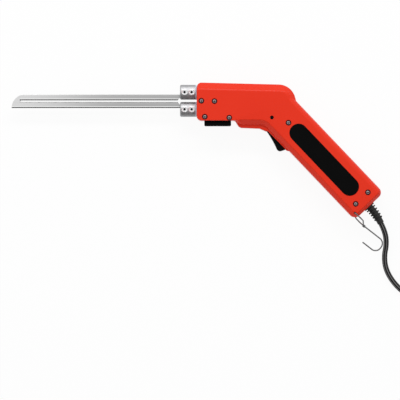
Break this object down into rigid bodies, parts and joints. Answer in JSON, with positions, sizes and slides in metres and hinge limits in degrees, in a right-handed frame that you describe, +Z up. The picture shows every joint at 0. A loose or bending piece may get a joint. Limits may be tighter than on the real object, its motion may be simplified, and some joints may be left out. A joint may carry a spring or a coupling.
{
  "type": "hot wire cutter",
  "caption": "Hand-held hot knife with a slotted blade in two clamp blocks, a bent two-shell housing, a trigger, a hanging hook and a mains cord.",
  "frame": {"origin": "on the surface the tool lies on, under the middle of its bounding box without the free cord, its coil and its plug", "axes": "+X runs along the blade from its tip back towards the handle, +Y points to the side of the blade away from the trigger, and +Z is up, out of the left shell; the tool lies on its right shell"},
  "size_m": [0.5922, 0.2466, 0.0378],
  "materials": {
    "red_shell": "satin moulded plastic",
    "black_screw": "dark plated steel",
    "clamp_steel": "turned steel",
    "screw_steel": "plated steel",
    "mica": "pale mica board",
    "ceramic": "unglazed ceramic",
    "blade_steel": "ground resistance alloy",
    "black_plastic": "moulded plastic",
    "pin_steel": "dark steel",
    "white_plastic": "moulded nylon",
    "core_iron": "varnished laminations",
    "winding_copper": "enamelled copper wire",
    "brown_board": "pressed board",
    "strap_copper": "bare copper bar",
    "black_label": "printed plate",
    "black_rubber": "flexible sheath",
    "brown_lead": "wire insulation",
    "blue_lead": "wire insulation",
    "bright_wire": "plated spring wire",
    "brass_prong": "bare brass"
  },
  "bodies": {
    "housing": {"housing_left": "red_shell", "housing_right": "red_shell", "housing_screws": "black_screw", "clamp_block_upper": "clamp_steel", "clamp_block_lower": "clamp_steel", "set_screws": "screw_steel", "insulating_washers": "mica", "insulator_bush_upper": "ceramic", "insulator_bush_lower": "ceramic", "guide_rail": "black_plastic", "guide_rail_screws": "screw_steel", "trigger_pin": "pin_steel", "switch_body": "black_plastic", "transformer_core": "core_iron", "transformer_bobbin": "white_plastic", "primary_winding": "winding_copper", "terminal_strip": "brown_board", "secondary_strap": "strap_copper", "strap_screws": "screw_steel", "label_plate": "black_label", "cord_tail": "black_rubber", "cord_clamp": "black_plastic", "cord_clamp_screws": "screw_steel", "lead_to_switch": "brown_lead", "lead_to_transformer": "blue_lead", "switch_lead": "brown_lead", "strain_relief": "black_rubber", "cord_run": "black_rubber", "plug_lead": "black_rubber", "cord_coil": "black_rubber", "cord_tie": "black_plastic", "plug_body": "black_rubber", "plug_pins": "brass_prong"},
    "trigger": {"trigger": "black_plastic"},
    "switch_plunger": {"switch_plunger": "white_plastic"},
    "hook": {"hanging_hook": "bright_wire"},
    "blade": {"blade": "blade_steel"}
  },
  "joints": [
    {"name": "trigger_pivot", "type": "hinge", "parent": "housing", "child": "trigger", "pos_m": [0.08192, 0.05417, 0.018], "axis": [0, 0, 1], "range_deg": [0, 9], "stiffness_Nm_per_rad": 0.35, "springref_deg": -17.19},
    {"name": "plunger_slide", "type": "slide", "parent": "housing", "child": "switch_plunger", "axis": [0.7242, 0.6896, 0], "range_m": [0, 0.0047]},
    {"name": "hook_swivel", "type": "hinge", "parent": "housing", "child": "hook", "pos_m": [0.17311, -0.05065, 0.018], "axis": [0, 0, 1], "range_deg": [-105, 10]},
    {"name": "blade_release", "type": "slide", "parent": "housing", "child": "blade", "axis": [-1, 0, 0], "range_m": [0, 0.016]}
  ],
  "couplings": [
    {"joint": "plunger_slide", "follows": "trigger_pivot", "m_per_rad": 0.029285}
  ]
}
